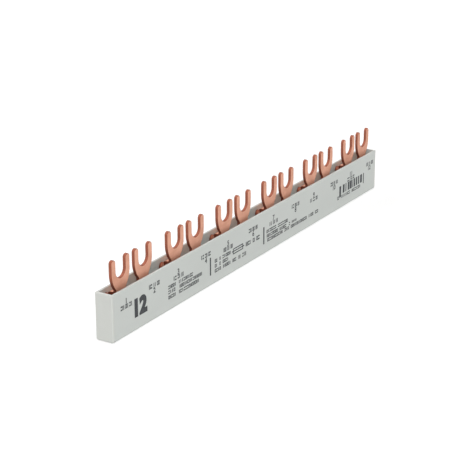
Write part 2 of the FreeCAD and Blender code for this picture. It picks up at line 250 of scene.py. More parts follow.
@dataclass(frozen=True)
class MouldedAbs(MattPlastic):
    """Injection-moulded ABS.

    The spark-eroded mould gives an even fine grain, a little glossier and
    warmer than the extruded profile beside it.
    """

    name: str = "moulded_abs"
    colour: str = "#CBCDC8"
    shade: str = "#C6C8C3"
    ior: float = 1.54
    roughness: float = 0.42
    swing: float = 0.06
    cloud_mm: float = 9.0
    bump: float = 0.4
    grain_mm: float = 0.2       # coarser than real spark erosion, so that it shows

    def relief(self, tree: NodeTree, place: NodeSocket) -> tuple[NodeSocket, NodeSocket]:
        """An even grain.

        Args:
            tree: The material's node tree.
            place: Socket of the Object coordinates.

        Returns:
            The height of the relief and the pattern that the gloss follows.
        """
        grain = add_node(tree, "TexNoise", {
            "Vector": place, "Scale": per_metre(self.grain_mm), "Detail": 3.0,
            "Roughness": 0.6})["Fac"]
        return grain, grain


@dataclass(frozen=True)
class RolledCopper(Finish):
    """Bare copper sheet, rolled and pickled.

    Pickling leaves it pink and matt. Fine rolling lines follow the strip, and a
    thin film of oxide, which scatters light, has grown on it in soft patches.
    """

    name: str = "rolled_copper"
    colour: str = "#DEA991"
    tarnish: str = "#CC937A"
    bloom_mm: float = 7.0
    bloom_from: float = 0.38    # noise at which the oxide starts, and is at its full
    bloom_to: float = 0.72
    line_mm: float = 0.3        # real rolling lines are finer; drawn coarser to show
    line_run_mm: float = 14.0
    line_from: float = 0.3      # noise that the gloss follows
    line_to: float = 0.7
    roughness: float = 0.66
    smoother: float = 0.06
    rougher: float = 0.08
    bare: float = 0.6           # share of bare metal where there is least oxide
    filmed: float = 0.35
    depth_mm: float = 0.006
    bump: float = 0.5

    def surface(self, tree: NodeTree, place: NodeSocket) -> dict[str, Any]:
        """Rolling lines along the strip and patches of oxide.

        Args:
            tree: The material's node tree.
            place: Socket of the Object coordinates.

        Returns:
            Inputs of the surface's shader.
        """
        bloom = add_node(tree, "TexNoise", {
            "Vector": place, "Scale": per_metre(self.bloom_mm), "Detail": 4.0,
            "Roughness": 0.6})
        patch = add_node(tree, "MapRange", {
            "Value": bloom["Fac"], "From Min": self.bloom_from,
            "From Max": self.bloom_to})
        colour = add_node(tree, "Mix", {
            "Factor": patch["Result"], "A": linear(self.colour),
            "B": linear(self.tarnish)}, data_type="RGBA")
        drawn = add_node(tree, "Mapping", {
            "Vector": place, "Scale": (self.line_mm / self.line_run_mm, 1.0, 1.0)})
        lines = add_node(tree, "TexNoise", {
            "Vector": drawn["Vector"], "Scale": per_metre(self.line_mm), "Detail": 2.0})
        bump = add_node(tree, "Bump", {
            "Height": lines["Fac"], "Strength": self.bump,
            "Distance": self.depth_mm * MM})
        gloss = add_node(tree, "MapRange", {
            "Value": lines["Fac"], "From Min": self.line_from,
            "From Max": self.line_to, "To Min": self.roughness - self.smoother,
            "To Max": self.roughness + self.rougher})
        metal = add_node(tree, "MapRange", {
            "Value": patch["Result"], "To Min": self.bare, "To Max": self.filmed})
        return {"Base Color": colour["Result"], "Metallic": metal["Result"],
                "Roughness": gloss["Result"], "Normal": bump["Normal"]}


@dataclass(frozen=True)
class ShearedCopper(Finish):
    """Edge of copper sheet as the punch leaves it.

    The punch tears most of the thickness, so the edge is rougher than the face,
    with fine scores across the sheet. Its colours are darker than the face's,
    partly for the torn metal and partly as painted shade for the dark
    reflection that the narrow edges show.
    """

    name: str = "sheared_copper"
    # darker than the face partly for torn metal, partly as painted shade
    colour: str = "#AC6E5A"
    torn: str = "#834A38"
    score_mm: float = 0.22      # real scores are finer; drawn coarser to show
    score_run_mm: float = 2.5
    roughness: float = 0.55
    depth_mm: float = 0.02
    bump: float = 0.5

    def surface(self, tree: NodeTree, place: NodeSocket) -> dict[str, Any]:
        """Scores across the sheet, darker where it is torn.

        Args:
            tree: The material's node tree.
            place: Socket of the Object coordinates.

        Returns:
            Inputs of the surface's shader.
        """
        drawn = add_node(tree, "Mapping", {
            "Vector": place, "Scale": (1.0, self.score_mm / self.score_run_mm, 1.0)})
        scores = add_node(tree, "TexNoise", {
            "Vector": drawn["Vector"], "Scale": per_metre(self.score_mm),
            "Detail": 3.0, "Roughness": 0.6})
        colour = add_node(tree, "Mix", {
            "Factor": scores["Fac"], "A": linear(self.colour), "B": linear(self.torn)},
            data_type="RGBA")
        bump = add_node(tree, "Bump", {
            "Height": scores["Fac"], "Strength": self.bump,
            "Distance": self.depth_mm * MM})
        return {"Base Color": colour["Result"], "Metallic": 1.0,
                "Roughness": self.roughness, "Normal": bump["Normal"]}


@dataclass(frozen=True)
class PadInk(Finish):
    """Two-part pad-printing ink, slate.

    It dries to a thin satin film that takes on the grain of the plastic, and
    it is a little thinner in places.
    """

    name: str = "pad_printing_ink"
    colour: str = "#1D2025"
    thin: str = "#34383E"
    ior: float = 1.5
    roughness: float = 0.5
    patch_mm: float = 0.9
    thin_from: float = 0.45     # noise at which the film starts to thin
    thin_to: float = 0.8

    def surface(self, tree: NodeTree, place: NodeSocket) -> dict[str, Any]:
        """Small patches of thinner film.

        Args:
            tree: The material's node tree.
            place: Socket of the Object coordinates.

        Returns:
            Inputs of the surface's shader.
        """
        patch = add_node(tree, "TexNoise", {
            "Vector": place, "Scale": per_metre(self.patch_mm), "Detail": 3.0})
        spread = add_node(tree, "MapRange", {
            "Value": patch["Fac"], "From Min": self.thin_from, "From Max": self.thin_to})
        colour = add_node(tree, "Mix", {
            "Factor": spread["Result"], "A": linear(self.colour),
            "B": linear(self.thin)}, data_type="RGBA")
        return {"Base Color": colour["Result"], "Roughness": self.roughness,
                "IOR": self.ior}


def arc(centre: tuple[float, float], radius: float, first: float, last: float,
        steps: int) -> np.ndarray:
    """Points on a circle: centre + radius (cos a, sin a), with a in even steps.

    Args:
        centre: Centre of the circle.
        radius: Its radius.
        first: Angle of the first point, in degrees.
        last: Angle of the last point, in degrees.
        steps: Number of chords.

    Returns:
        The points, one row each.
    """
    angle = np.radians(np.linspace(first, last, steps + 1))
    return np.stack([centre[0] + radius * np.cos(angle),
                     centre[1] + radius * np.sin(angle)], axis=1)


def rounded_polygon(corners: np.ndarray, radii: np.ndarray, steps: int
                    ) -> tuple[np.ndarray, np.ndarray]:
    """Closed outline of straight sides whose corners are arcs.

    An arc of radius r starts r tan(turn / 2) before its corner. Its centre is r
    to the left of the path for a left turn, else to the right, and its points
    are as far from the centre while the heading turns in even steps.

    Args:
        corners: Corner points, one row each, anticlockwise.
        radii: Radius at each corner.
        steps: Chords in each arc.

    Returns:
        The points, one row each, and True for each with a straight side after it.
    """
    heading = np.roll(corners, -1, axis=0) - corners
    heading /= np.linalg.norm(heading, axis=1, keepdims=True)
    before = np.roll(heading, 1, axis=0)
    turn = np.arctan2(before[:, 0] * heading[:, 1] - before[:, 1] * heading[:, 0],
                      (before * heading).sum(axis=1))
    start = corners - before * (radii * np.tan(np.abs(turn) / 2))[:, None]
    reach = (np.sign(turn) * radii)[:, None]
    centre = start + reach * np.stack([-before[:, 1], before[:, 0]], axis=1)
    angle = (np.arctan2(before[:, 1], before[:, 0])[:, None]
             + turn[:, None] * np.linspace(0, 1, steps + 1))
    left = np.stack([-np.sin(angle), np.cos(angle)], axis=2)
    loop = (centre[:, None] - reach[:, None] * left).reshape(-1, 2)
    return loop, np.arange(len(loop)) % (steps + 1) == steps


def along_bar(loops: list[np.ndarray], x: np.ndarray) -> np.ndarray:
    """Rings of points (x, depth, height) from outlines and their places."""
    return np.stack([np.insert(loop, 0, place, axis=1) for loop, place in zip(loops, x)])


def inset(outline: np.ndarray, distance: float) -> np.ndarray:
    """Moves a closed anticlockwise outline inwards by a distance.

    With a and b the inward normals of the two sides at a point, the point moves
    by distance (a + b) / (1 + a . b), which keeps both sides parallel.

    Args:
        outline: Points in order, one row each.
        distance: How far every side moves.

    Returns:
        The moved points.
    """
    side = np.roll(outline, -1, axis=0) - outline
    side /= np.linalg.norm(side, axis=1, keepdims=True)
    normal = np.stack([-side[:, 1], side[:, 0]], axis=1)
    before = np.roll(normal, 1, axis=0)
    scale = distance / (1 + (normal * before).sum(axis=1, keepdims=True))
    return outline + (normal + before) * scale


def ring_quads(rings: int, around: int) -> np.ndarray:
    """Faces between closed rings of points that follow each other.

    Args:
        rings: Number of rings.
        around: Points in each ring.

    Returns:
        Corner numbers in the shape (rings - 1, around, 4).
    """
    ring, place = np.meshgrid(np.arange(rings - 1), np.arange(around), indexing="ij")
    ahead = (place + 1) % around
    return np.stack([ring * around + place, (ring + 1) * around + place,
                     (ring + 1) * around + ahead, ring * around + ahead], axis=2)


def distinct(outline: np.ndarray) -> np.ndarray:
    """Drops each point of a closed outline that lies on the one before it."""
    step = np.linalg.norm(outline - np.roll(outline, 1, axis=0), axis=1)
    return outline[step > SAME_POINT]


@dataclass
class Shell:
    """Points and faces of a surface, in millimetres.

    Attributes:
        points: Points, one row each.
        faces: Corner numbers of each face, outwards by the right-hand rule.
        smooth: True for each face that belongs to a curved surface.
        finish: Number of each face's material.
    """

    points: np.ndarray
    faces: list[list[int]]
    smooth: np.ndarray
    finish: np.ndarray

    @classmethod
    def from_rings(cls, rings: np.ndarray, straight: np.ndarray, flip: bool = False,
                   curved: np.ndarray | None = None, edge: np.ndarray | None = None
                   ) -> "Shell":
        """Closed surface from rings of points and a flat face at each end.

        Args:
            rings: Points in the shape (ring, place, 3).
            straight: True for each place whose side of the ring is straight.
            flip: True turns every face round.
            curved: True for each gap between rings that is part of a rounding.
            edge: Number of the material of each gap between rings.

        Returns:
            The surface.
        """
        count, around = rings.shape[:2]
        curved = np.zeros(count - 1, bool) if curved is None else curved
        edge = np.zeros(count - 1, int) if edge is None else edge
        quads = ring_quads(count, around)
        first = list(range(around))
        last = [(count - 1) * around + place for place in reversed(first)]
        faces = quads.reshape(-1, 4).tolist() + [first, last]
        if flip:
            faces = [face[::-1] for face in faces]
        smooth = (curved[:, None] | ~straight[None, :]).ravel()
        finish = np.repeat(edge, around)
        return cls(rings.reshape(-1, 3), faces, np.append(smooth, [False, False]),
                   np.append(finish, [0, 0]))

    @classmethod
    def join(cls, shells: list["Shell"]) -> "Shell":
        """One surface from several that don't touch.

        Args:
            shells: The surfaces.

        Returns:
            The surface with all their points and faces, in order.
        """
        starts = np.cumsum([0] + [len(shell.points) for shell in shells[:-1]])
        faces = [[corner + int(start) for corner in face]
                 for shell, start in zip(shells, starts) for face in shell.faces]
        return cls(np.concatenate([shell.points for shell in shells]), faces,
                   np.concatenate([shell.smooth for shell in shells]),
                   np.concatenate([shell.finish for shell in shells]))

    def to_mesh(self, name: str) -> Mesh:
        """Writes the surface into a new mesh, in metres.

        Args:
            name: The mesh's name.

        Returns:
            The mesh.
        """
        mesh = bpy.data.meshes.new(name)
        mesh.from_pydata((self.points * MM).tolist(), [], self.faces)
        mesh.polygons.foreach_set("use_smooth", self.smooth)
        mesh.polygons.foreach_set("material_index", self.finish.astype(np.int32))
        mesh.update()
        return mesh


def add_piece(name: str, shape: "Shell | Mesh", materials: list[Material],
              replaces: str | None = None) -> Object:
    """Puts a surface or a mesh into the scene as a piece of the object.

    Args:
        name: The piece's name.
        shape: Its surface or mesh, in place.
        materials: Its materials, in the order that the faces count them.
        replaces: The solid that the piece stands for, if any.

    Returns:
        The piece.
    """
    mesh = shape.to_mesh(name) if isinstance(shape, Shell) else shape
    piece = bpy.data.objects.new(name, mesh)
    bpy.context.scene.collection.objects.link(piece)
    for material in materials:
        mesh.materials.append(material)
    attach(piece, "root")
    if replaces:
        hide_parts(replaces)
    return piece


def box_mm(node: str) -> tuple[np.ndarray, np.ndarray]:
    """Lowest and highest corner of a solid, in millimetres."""
    low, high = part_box(node)
    return np.array(low) / MM, np.array(high) / MM


def terminals() -> tuple[np.ndarray, float, float]:
    """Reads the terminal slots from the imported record.

    Returns:
        The slots' places along the bar, the height of their centres and their
        radius, in millimetres.
    """
    mounts = sorted((mount for mount in frame["record"]["mounts"]
                     if mount["name"].startswith("terminal_")),
                    key=lambda mount: mount["pos_m"][0])
    places = np.array([mount["pos_m"][0] for mount in mounts]) / MM
    return places, mounts[0]["pos_m"][2] / MM, mounts[0]["dims"]["r_mm"]


@dataclass
class StampedComb:
    """Copper strip and forks, stamped from one sheet.

    The blank is an outline in the plane of the sheet. A rounded edge is carried
    around it, and the two faces close it.
    """

    name: str
    places: np.ndarray
    slot_level: float
    slot_radius: float
    strip_height: float = 11.0
    tine_width: float = 3.4
    neck_width: float = 8.0
    neck_fillet: float = 0.8
    shoulder_above_rim: float = 7.8
    shoulder_radius: float = 13.0
    root_fillet: float = 0.5
    corner: float = 0.4
    front_round: float = 0.28   # the punch draws the edge in on this side
    back_round: float = 0.1
    sheet: float = 1.5
    corner_steps: int = 4
    fillet_steps: int = 5
    flank_steps: int = 14
    tip_steps: int = 18
    slot_steps: int = 24
    flat_side: float = 1.0      # a side longer than this is flat, not part of a curve
    divided_above: float = 2.0  # level over the strip that divides the blank's faces
    bisect_reach: float = 1e-8  # metres within which a point lies on a cut
    low: np.ndarray = field(init=False)
    high: np.ndarray = field(init=False)
    rim: float = field(init=False)

    def __post_init__(self) -> None:
        """Takes the comb's reach from its solid and the rim's level from the trough."""
        self.low, self.high = box_mm(self.name)
        self.rim = box_mm("housing")[1][2]

    @property
    def half(self) -> float:
        """Half the width of a fork."""
        return self.slot_radius + self.tine_width

    @property
    def strip_top(self) -> float:
        """Level of the strip's upper edge."""
        return self.low[2] + self.strip_height

    @property
    def rise(self) -> float:
        """How much higher the forks are in the flat blank than when bent."""
        return 0.0

    def foot(self) -> np.ndarray:
        """Right half of a fork's foot, from the strip's edge to the neck."""
        return arc((self.neck_width / 2 + self.root_fillet,
                    self.strip_top + self.root_fillet),
                   self.root_fillet, 270, 180, self.corner_steps)

    def fork(self) -> np.ndarray:
        """Outline of one fork and its foot, from right to left.

        Below the tines the flanks turn in on a wide radius r, tangent to the
        fork's sides. They meet the neck in a fillet of radius f, whose centre
        lies f beside the neck and r + f from the flank's centre.

        Returns:
            Points about the fork's centre line, in the flat blank. The left half
            mirrors the right half.
        """
        beside = self.neck_width / 2 + self.neck_fillet
        shoulder = self.rim + self.shoulder_above_rim
        flank, inwards = self.shoulder_radius, self.shoulder_radius - self.half
        drop = math.sqrt((flank + self.neck_fillet) ** 2 - (inwards + beside) ** 2)
        turn = math.degrees(math.atan2(drop, inwards + beside))
        tip = self.high[2] - self.tine_width / 2
        across = self.half - self.tine_width / 2
        slot = arc((0, self.slot_level + self.rise), self.slot_radius, 0, -180,
                   self.slot_steps)
        right = np.concatenate([
            arc((beside, shoulder - drop), self.neck_fillet, 180, 180 - turn,
                self.fillet_steps),
            arc((-inwards, shoulder), flank, -turn, 0, self.flank_steps),
            arc((across, tip), self.tine_width / 2, 0, 180, self.tip_steps)])
        right = np.concatenate([self.foot(), right + [0, self.rise]])
        return np.concatenate([right, slot, (right * [-1, 1])[::-1]])

    def outline(self) -> np.ndarray:
        """Outline of the blank, seen from the front.

        Returns:
            Its points, closed and anticlockwise.
        """
        left, right = self.low[0], self.high[0]
        corner, bottom, top = self.corner, self.low[2], self.strip_top
        steps = self.corner_steps
        forks = self.fork() + np.stack([self.places[::-1], 0 * self.places], 1)[:, None]
        return distinct(np.concatenate([
            arc((left + corner, bottom + corner), corner, 180, 270, steps),
            arc((right - corner, bottom + corner), corner, 270, 360, steps),
            arc((right - corner, top - corner), corner, 0, 90, steps),
            forks.reshape(-1, 2), self.last_corner()]))

    def last_corner(self) -> np.ndarray:
        """Upper corner of the strip's left end."""
        return arc((self.low[0] + self.corner, self.strip_top - self.corner),
                   self.corner, 90, 180, self.corner_steps)

    def edge_profile(self) -> tuple[np.ndarray, np.ndarray, np.ndarray]:
        """Cut through the sheet's edge, from its front face to its back face.

        Returns:
            Rows of (inset, depth from the middle of the sheet), whether each
            gap between rows is curved, and the number of its material.
        """
        half, steps = self.sheet / 2, self.corner_steps
        front = arc((self.front_round, self.front_round - half), self.front_round,
                    -90, -180, steps)
        back = arc((self.back_round, half - self.back_round), self.back_round,
                   180, 90, steps)
        curved = np.ones(2 * steps + 1, bool)
        curved[steps] = False
        # every gap of the edge takes the darker sheared material, the front rounding
        # too; on that rounding the darkness is painted shade along the edge
        finish = np.ones(2 * steps + 1, int)
        return np.concatenate([front, back]), curved, finish

    def cuts(self) -> np.ndarray:
        """Levels at which the flat blank is divided into smaller faces."""
        return np.array([self.strip_top + self.divided_above,
                         self.slot_level + self.rise])

    def middle(self) -> float:
        """Depth of the middle of the flat blank."""
        return self.low[1] + self.sheet / 2

    def form(self, points: np.ndarray) -> np.ndarray:
        """Takes points of the blank, (x, depth, height), to their place."""
        return points + [0, self.middle(), 0]

    def bent(self, centres: np.ndarray) -> np.ndarray:
        """True for each face, by its centre in the blank, that lies in a bend."""
        return np.zeros(len(centres), bool)

    def build(self, face: Material, edge: Material) -> Object:
        """Makes the comb.

        Args:
            face: Material of the rolled faces.
            edge: Material of the sheared edges.

        Returns:
            The piece.
        """
        outline = self.outline()
        profile, curved, finish = self.edge_profile()
        rings = np.stack([inset(outline, row[0]) for row in profile])
        depth = np.broadcast_to(profile[:, 1][:, None, None], rings.shape[:2] + (1,))
        rings = np.concatenate([rings[..., :1], depth, rings[..., 1:]], axis=2)
        length = np.linalg.norm(np.roll(outline, -1, axis=0) - outline, axis=1)
        shell = Shell.from_rings(rings, length > self.flat_side, curved=curved,
                                 edge=finish)
        mesh = shell.to_mesh(self.name + "_copper")
        blank = bmesh.new()
        blank.from_mesh(mesh)
        for level in self.cuts():
            bmesh.ops.bisect_plane(
                blank, geom=blank.verts[:] + blank.edges[:] + blank.faces[:],
                dist=self.bisect_reach, plane_co=(0, 0, level * MM), plane_no=(0, 0, 1))
        blank.to_mesh(mesh)
        blank.free()
        self.place(mesh)
        return add_piece(self.name + "_stamping", mesh, [face, edge], self.name)

    def place(self, mesh: Mesh) -> None:
        """Forms the flat blank and marks the faces in its bends as smooth.

        Args:
            mesh: The blank's mesh, in metres.
        """
        centres = np.zeros(len(mesh.polygons) * 3, np.float32)
        mesh.polygons.foreach_get("center", centres)
        smooth = np.zeros(len(mesh.polygons), bool)
        mesh.polygons.foreach_get("use_smooth", smooth)
        points = np.zeros(len(mesh.vertices) * 3, np.float32)
        mesh.vertices.foreach_get("co", points)
        formed = self.form(points.reshape(-1, 3).astype(float) / MM) * MM
        mesh.vertices.foreach_set("co", formed.astype(np.float32).ravel())
        mesh.polygons.foreach_set(
            "use_smooth", smooth | self.bent(centres.reshape(-1, 3) / MM))
        mesh.update()


@dataclass
class CrankedComb(StampedComb):
    """Stamped comb whose necks are bent forward and up again.

    A wide tab stands on the strip on both sides of each neck, cut free from it
    by a relief notch.
    """

    tab_below_rim: float = 2.0
    tab_corner: float = 2.0
    relief: float = 0.8
    relief_round: float = 0.28
    crank_below_rim: float = 1.6
    bend_radius: float = 0.6
    bend_steps: int = 8
    tab_steps: int = 8
    relief_steps: int = 3

    @property
    def mean_radius(self) -> float:
        """Radius of a bend in the middle of the sheet."""
        return self.bend_radius + self.sheet / 2

    @property
    def first_bend(self) -> tuple[float, float]:
        """Depth and level of the axis of the bend above the strip."""
        return (self.high[1] - self.sheet - self.bend_radius,
                self.rim - self.crank_below_rim - self.bend_radius - self.sheet)

    @property
    def second_bend(self) -> tuple[float, float]:
        """Depth and level of the axis of the bend below the forks."""
        return (self.low[1] + self.sheet + self.bend_radius,
                self.rim - self.crank_below_rim + self.bend_radius)

    @property
    def run(self) -> float:
        """Length of the level stretch between the bends."""
        return self.first_bend[0] - self.second_bend[0]

    @property
    def quarter(self) -> float:
        """Length of the sheet's middle in one bend."""
        return self.mean_radius * math.pi / 2

    @property
    def rise(self) -> float:
        """How much higher the forks are in the flat blank than when bent."""
        return (self.first_bend[1] + 2 * self.quarter + self.run
                - self.second_bend[1])

    def foot(self) -> np.ndarray:
        """Right half of a fork's foot: the tab and the relief beside the neck.

        Returns:
            Points about the fork's centre line, from the strip's edge to the neck.
        """
        top = self.rim - self.tab_below_rim
        neck = self.neck_width / 2
        gap = neck + self.relief
        bottom, radius = self.first_bend[1], self.relief_round
        steps = self.relief_steps
        return np.concatenate([
            [[self.half, self.strip_top]],
            arc((self.half - self.tab_corner, top - self.tab_corner),
                self.tab_corner, 0, 90, self.tab_steps),
            arc((gap + radius, top - radius), radius, 90, 180, steps),
            arc((gap - radius, bottom + radius), radius, 0, -90, steps),
            arc((neck + radius, bottom + radius), radius, -90, -180, steps)])

    def last_corner(self) -> np.ndarray:
        """The left end's upper corner is the foot of the first tab."""
        return np.array([[self.low[0], self.strip_top]])

    def cuts(self) -> np.ndarray:
        """Levels that divide the blank, with even steps through both bends.

        Returns:
            Heights in the flat blank.
        """
        steps = np.linspace(0, self.quarter, self.bend_steps + 1)
        start = self.first_bend[1]
        return np.concatenate([super().cuts(), start + steps,
                               start + self.quarter + self.run + steps])

    def middle(self) -> float:
        """Depth of the middle of the flat blank."""
        return self.high[1] - self.sheet / 2

    def on_neck(self, points: np.ndarray) -> np.ndarray:
        """Finds what the bends move: the necks and all that is above them.

        Args:
            points: Points of the blank, (x, depth, height).

        Returns:
            True for each point that is above a neck's first bend.
        """
        beside = np.abs(points[:, :1] - self.places[None]).min(axis=1)
        clear = self.neck_width / 2 + self.relief / 2
        above = points[:, 2] > self.first_bend[1]
        return above & ((beside < clear) | (points[:, 2] > self.rim))

    def form(self, points: np.ndarray) -> np.ndarray:
        """Bends the blank's necks forward and up again.

        With s the length along the middle of the sheet from the first bend, and
        t the depth from that middle, a point in the first bend lies at angle
        s / r about its axis, r + t away. It then runs level, t above the middle.
        In the second bend it lies r - t from that axis, and above that it stands
        upright again, t behind the middle.

        Args:
            points: Points of the blank, (x, depth from the middle, height).

        Returns:
            The points in their place.
        """
        mean, quarter = self.mean_radius, self.quarter
        s = points[:, 2] - self.first_bend[1]
        t = points[:, 1]
        (rear, low), (front, high) = self.first_bend, self.second_bend
        turn = np.clip(s / mean, 0, math.pi / 2)
        back = np.clip((s - quarter - self.run) / mean, 0, math.pi / 2)
        level = np.clip(s - quarter, 0, self.run)
        after = np.maximum(s - 2 * quarter - self.run, 0)
        first = s <= quarter + self.run
        y = np.where(first, rear + (mean + t) * np.cos(turn) - level,
                     front - (mean - t) * np.sin(back))
        z = np.where(first, low + (mean + t) * np.sin(turn),
                     high - (mean - t) * np.cos(back) + after)
        flat = super().form(points)
        formed = np.stack([points[:, 0], y, z], axis=1)
        return np.where(self.on_neck(points)[:, None], formed, flat)

    def bent(self, centres: np.ndarray) -> np.ndarray:
        """Finds the faces in the two bends and between them.

        Args:
            centres: Centres of the faces in the blank.

        Returns:
            True for each face that is shaded as a curve.
        """
        s = centres[:, 2] - self.first_bend[1]
        inside = (s > 0) & (s < 2 * self.quarter + self.run)
        return inside & self.on_neck(centres)


@dataclass
class TroughProfile:
    """Insulating profile: a trough with a web and ribs, drawn along the bar."""

    wall: float = 1.1
    floor: float = 1.2
    web: float = 1.8
    web_below_rim: float = 6.5
    front_rib: float = 1.8
    rear_rib: float = 0.3
    rib_height: float = 1.0
    rib_levels: tuple[float, float] = (2.7, 9.7)
    web_front: float = -0.15
    base_round: float = 0.8
    rim_round: float = 0.3
    inner_round: float = 0.15
    rib_round: float = 0.1
    round_steps: int = 6
    stations: int = 53

    def ribs(self, wall: float, face: float) -> list[tuple[float, float, float]]:
        """Corners of the two ribs on a wall.

        Args:
            wall: Depth of the wall's inner side.
            face: Depth of the ribs' faces.

        Returns:
            Depth, height and radius of each corner, from the bottom up.
        """
        radius = self.rib_round
        rows = []
        for level in self.rib_levels:
            top = level + self.rib_height
            rows += [(wall, level, radius), (face, level, radius),
                     (face, top, radius), (wall, top, radius)]
        return rows

    def section(self) -> tuple[np.ndarray, np.ndarray]:
        """Corners of the cut across the bar and the radius at each.

        Returns:
            Corners as (depth, height), anticlockwise seen from the right end,
            and their radii.
        """
        low, high = box_mm("housing")
        front, back, rim = low[1], high[1], high[2]
        inner_front, inner_back = front + self.wall, back - self.wall
        web_back = self.web_front + self.web
        web_top = rim - self.web_below_rim

        rows = [(front, 0, self.base_round), (back, 0, self.base_round),
                (back, rim, self.rim_round), (inner_back, rim, self.rim_round)]
        rows += self.ribs(inner_back, inner_back - self.rear_rib)[::-1]
        rows += [(inner_back, self.floor, self.inner_round),
                 (web_back, self.floor, self.inner_round),
                 (web_back, web_top, self.rim_round),
                 (self.web_front, web_top, self.rim_round),
                 (self.web_front, self.floor, self.inner_round),
                 (inner_front, self.floor, self.inner_round)]
        rows += self.ribs(inner_front, inner_front + self.front_rib)
        rows += [(inner_front, rim, self.rim_round), (front, rim, self.rim_round)]
        table = np.array(rows, float)
        return table[:, :2], table[:, 2]

    def build(self, material: Material) -> Object:
        """Makes the profile: the section at even steps along the bar.

        Args:
            material: The plastic.

        Returns:
            The piece.
        """
        section, straight = rounded_polygon(*self.section(), self.round_steps)
        low, high = box_mm("housing")
        x = np.linspace(high[0], low[0], self.stations)
        shell = Shell.from_rings(along_bar([section] * self.stations, x), straight)
        return add_piece("trough_profile", shell, [material], "housing")


class End(Enum):
    """The two ends of the bar."""

    LEFT = -1
    RIGHT = 1


@dataclass
class EndCap:
    """Moulded cap on one end of the profile, held by two tongues."""

    end: End
    thickness: float = 1.2
    base_round: float = 0.8
    rim_round: float = 0.3
    outer_round: float = 0.5
    least_round: float = 0.12   # of the plate's corners at its outer face
    round_steps: int = 6
    seam: float = 0.05          # broken edge where the cap meets the profile
    tongue_length: float = 2.6
    tongue_depths: tuple[tuple[float, float], ...] = ((-1.75, -0.25), (1.75, 3.25))
    tongue_levels: tuple[float, float] = (1.3, 12.2)
    tongue_round: float = 0.2
    tongue_steps: int = 3
    node: str = field(init=False)
    face: float = field(init=False)

    def __post_init__(self) -> None:
        """Names the cap and finds the profile's cut end."""
        self.node = f"{self.end.name.lower()}_end_cap"
        self.face = box_mm("housing")[1][0]

    def plate(self) -> Shell:
        """Plate as rounded rectangles along X that shrink by the edge's rounding.

        Returns:
            The surface. Its first two gaps are the seam and the flat side.
        """
        low, high = box_mm(self.node)
        turn = np.radians(np.linspace(0, 90, self.round_steps + 1))
        shrink = np.concatenate([[self.seam, 0], self.outer_round * (1 - np.cos(turn))])
        x = self.face + np.concatenate([
            [0, self.seam], self.thickness - self.outer_round * (1 - np.sin(turn))])
        corners = np.array([[low[1], 0], [high[1], 0], [high[1], high[2]],
                            [low[1], high[2]]])
        inwards = np.array([[1, 1], [-1, 1], [-1, -1], [1, -1]])
        radii = np.repeat([self.base_round, self.rim_round], 2)
        loops = [rounded_polygon(corners + inwards * cut,
                                 np.maximum(radii - cut, self.least_round),
                                 self.round_steps) for cut in shrink]
        return self.turned([loop for loop, _ in loops], x, loops[0][1],
                           np.arange(len(x) - 1) >= 2)

    def tongue(self, depths: tuple[float, float]) -> Shell:
        """One tongue as a rounded rectangle carried inwards from the cap.

        Args:
            depths: Depth of its front and of its back.

        Returns:
            The surface.
        """
        low, high = self.tongue_levels
        corners = np.array([[depths[0], low], [depths[1], low], [depths[1], high],
                            [depths[0], high]])
        loop, straight = rounded_polygon(corners, np.full(4, self.tongue_round),
                                         self.tongue_steps)
        x = self.face + np.array([-self.tongue_length, self.seam])
        return self.turned([loop, loop], x, straight, np.zeros(1, bool))

    def turned(self, loops: list[np.ndarray], x: np.ndarray, straight: np.ndarray,
               curved: np.ndarray) -> Shell:
        """Surface of outlines that were drawn for the right end, put at this end.

        Args:
            loops: Outlines of the shape along X.
            x: Their places.
            straight: True for each place on them that a straight side follows.
            curved: True for each gap between them that is part of a rounding.

        Returns:
            The surface.
        """
        rings = along_bar(loops, x) * [self.end.value, 1, 1]
        return Shell.from_rings(rings, straight, flip=self.end is End.RIGHT,
                                curved=curved)

    def build(self, material: Material) -> Object:
        """Makes the cap.

        Args:
            material: The plastic.

        Returns:
            The piece.
        """
        shell = Shell.join([self.plate(), *map(self.tongue, self.tongue_depths)])
        return add_piece(self.node + "_moulding", shell, [material],
                         self.node)


class Sign(Enum):
    """Plain shapes that make up the rows of print.

    Each value lists its strokes as (left, right, bottom, top), in shares of the
    sign's width and height.
    """

    BAR = ((0.22, 0.62, 0.0, 1.0),)
    PAIR = ((0.02, 0.36, 0.0, 1.0), (0.58, 0.92, 0.0, 1.0))
    DASHES = ((0.0, 0.9, 0.68, 1.0), (0.0, 0.9, 0.0, 0.32))
    FRAME = ((0.0, 0.3, 0.0, 1.0), (0.62, 0.92, 0.0, 1.0),
             (0.3, 0.62, 0.76, 1.0), (0.3, 0.62, 0.0, 0.24))


@dataclass(frozen=True)
class Row:
    """Words of signs on one level: their height, and both ends of each in turn."""

    level: float
    height: float
    ends: tuple[float, ...]


